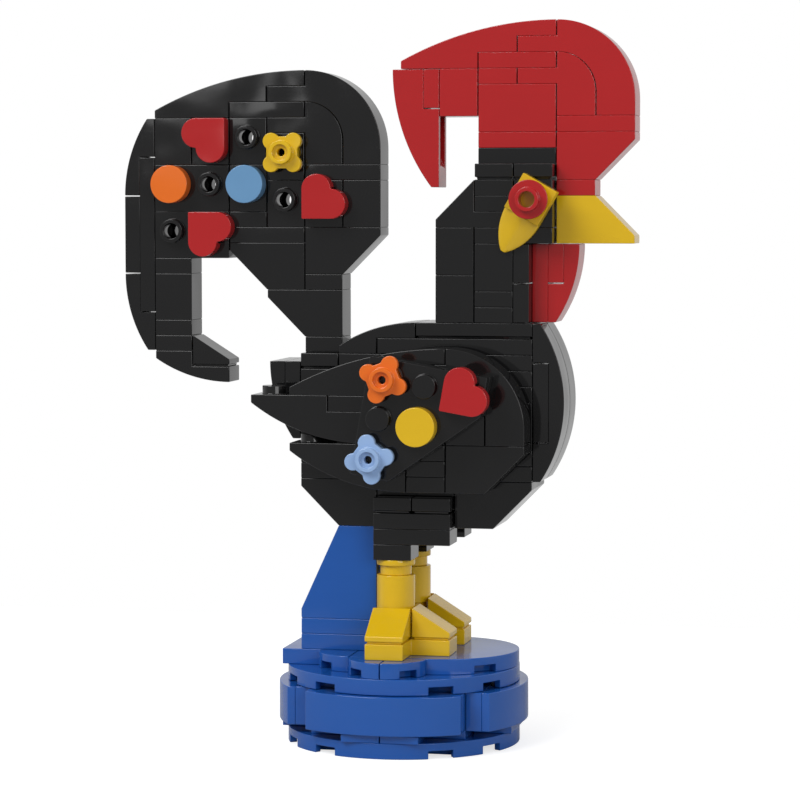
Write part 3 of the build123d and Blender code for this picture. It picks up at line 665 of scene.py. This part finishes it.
class Stand(Mouldings):
    """Legs, support and round foot."""

    def plan(self) -> dict[str, Plastic]:
        """Gives the plastic of each node below the body."""
        return {
            **on_both(Plastic.YELLOW, "leg"),
            **in_all(Plastic.BLUE, "support", "foot_plates", "foot_core", "foot_sides", "foot_top"),
        }


@dataclass(frozen=True)
class Lamp:
    """Soft square lamp that looks at the object.

    Attributes:
        name: name of the lamp.
        place: where it hangs.
        size: side of the square.
        power: power in watts.
    """

    name: str
    place: Triple
    size: float
    power: float


class Lights(Enum):
    """Lamps of the studio: two wide ones, and a small one that is there for its reflection."""

    KEY = Lamp("key", (-0.7, -1.0, 1.1), size=0.9, power=16.6)
    FILL = Lamp("fill", (0.9, -1.1, 0.5), size=0.8, power=6.0)
    WINDOW = Lamp("window", (-0.33, -1.0, 0.205), size=0.07, power=0.032)


@dataclass
class Studio:
    """White studio with soft lamps, and the camera of the photograph.

    Attributes:
        floor_size: side of the square floor.
        floor_grey: how much light the floor throws back.
        floor_glow: radiance that the camera alone sees on top of that.
        white: radiance of the surround as the camera sees it, where 1 is white.
        backdrop: radiance of the surround behind and above, as the object sees it.
        front: radiance of the surround on the camera's side, as the object sees it.
        front_reach: Y of the directions in which the surround is as dim as in front.
        backdrop_reach: Y of the directions from which on it is as bright as behind.
    """

    floor_size: float = 0.34
    floor_grey: float = 0.50
    floor_glow: float = 0.70
    white: float = 1.0
    backdrop: float = 0.66
    front: float = 0.33
    front_reach: float = -0.75
    backdrop_reach: float = 0.05

    def surround(self) -> None:
        """Makes the surround: white to the camera, and dimmer to the object, most of all in front."""
        world = bpy.data.worlds.new("studio")
        bpy.context.scene.world = world
        world.use_nodes = True
        shader = Shader(world.node_tree)
        direction = shader.add("SeparateXYZ")
        shader.link(shader.add("TexCoord").outputs["Generated"], direction.inputs[0])
        level = shader.ramp(direction.outputs["Y"], self.front_reach, self.backdrop_reach,
                            self.front, self.backdrop)
        lit = shader.add("Background", Color=WHITE)
        shader.link(level, lit.inputs["Strength"])
        seen = shader.add("Background", Color=WHITE, Strength=self.white)
        choice = shader.add("MixShader")
        shader.link(shader.add("LightPath").outputs["Is Camera Ray"], choice.inputs[0])
        shader.link(lit.outputs[0], choice.inputs[1])
        shader.link(seen.outputs[0], choice.inputs[2])
        shader.link(choice.outputs[0], shader.add("OutputWorld").inputs["Surface"])

    def paper(self) -> bpy.types.Material:
        """Makes the floor's material.

        Returns:
            Plain grey paper that looks white to the camera where no shadow falls.
        """
        material = bpy.data.materials.new("pale_floor")
        material.use_nodes = True
        shader = Shader(material.node_tree)
        grey = shader.add("BsdfDiffuse", Color=(self.floor_grey, self.floor_grey, self.floor_grey, 1.0))
        glow = shader.add("Emission")
        to_camera = shader.add("LightPath").outputs["Is Camera Ray"]
        shader.link(shader.math("MULTIPLY", to_camera, self.floor_glow), glow.inputs["Strength"])
        both = shader.add("AddShader")
        shader.link(grey.outputs[0], both.inputs[0])
        shader.link(glow.outputs[0], both.inputs[1])
        shader.link(both.outputs[0], shader.add("OutputMaterial").inputs["Surface"])
        return material

    def floor(self) -> None:
        """Lays a plain pale floor that keeps the object's shadow."""
        shape = bmesh.new()
        bmesh.ops.create_grid(shape, x_segments=1, y_segments=1, size=self.floor_size / 2)
        mesh = bpy.data.meshes.new("floor")
        shape.to_mesh(mesh)
        shape.free()
        mesh.materials.append(self.paper())
        floor = bpy.data.objects.new("floor", mesh)
        bpy.context.scene.collection.objects.link(floor)

    def hang(self, lamp: Lamp) -> None:
        """Hangs a lamp.

        Args:
            lamp: the lamp.
        """
        light = bpy.data.lights.new(lamp.name, "AREA")
        light.shape = "SQUARE"
        light.size = lamp.size
        light.energy = lamp.power
        fitting = bpy.data.objects.new(lamp.name, light)
        fitting.location = lamp.place
        fitting.rotation_euler = (TARGET - Vector(lamp.place)).to_track_quat("-Z", "Y").to_euler()
        bpy.context.scene.collection.objects.link(fitting)

    def camera(self) -> None:
        """Places the camera of the photograph."""
        lens = bpy.data.cameras.new("camera")
        lens.sensor_width = SENSOR_WIDTH
        lens.lens = SENSOR_WIDTH * FOCAL_PIXELS / IMAGE_PIXELS
        lens.clip_start = CLIP_START
        lens.clip_end = CLIP_END
        level = math.cos(CAMERA_PITCH)
        back = Vector((math.sin(CAMERA_YAW) * level, -math.cos(CAMERA_YAW) * level, math.sin(CAMERA_PITCH)))
        camera = bpy.data.objects.new("camera", lens)
        camera.location = TARGET + CAMERA_DISTANCE * back
        camera.rotation_euler = (-back).to_track_quat("-Z", "Y").to_euler()
        bpy.context.scene.collection.objects.link(camera)
        bpy.context.scene.camera = camera

    def build(self) -> None:
        """Sets up the whole studio."""
        self.surround()
        self.floor()
        for light in Lights:
            self.hang(light.value)
        self.camera()
        bpy.context.scene.view_settings.view_transform = "Standard"


def main() -> None:
    """Builds every sub-assembly and the studio."""
    paints = Paintbox()
    for maker in (Tail, Comb, Neck, Torso, Wings, Stand):
        maker(paints).build()
    Studio().build()


if __name__ == "__main__":
    main()
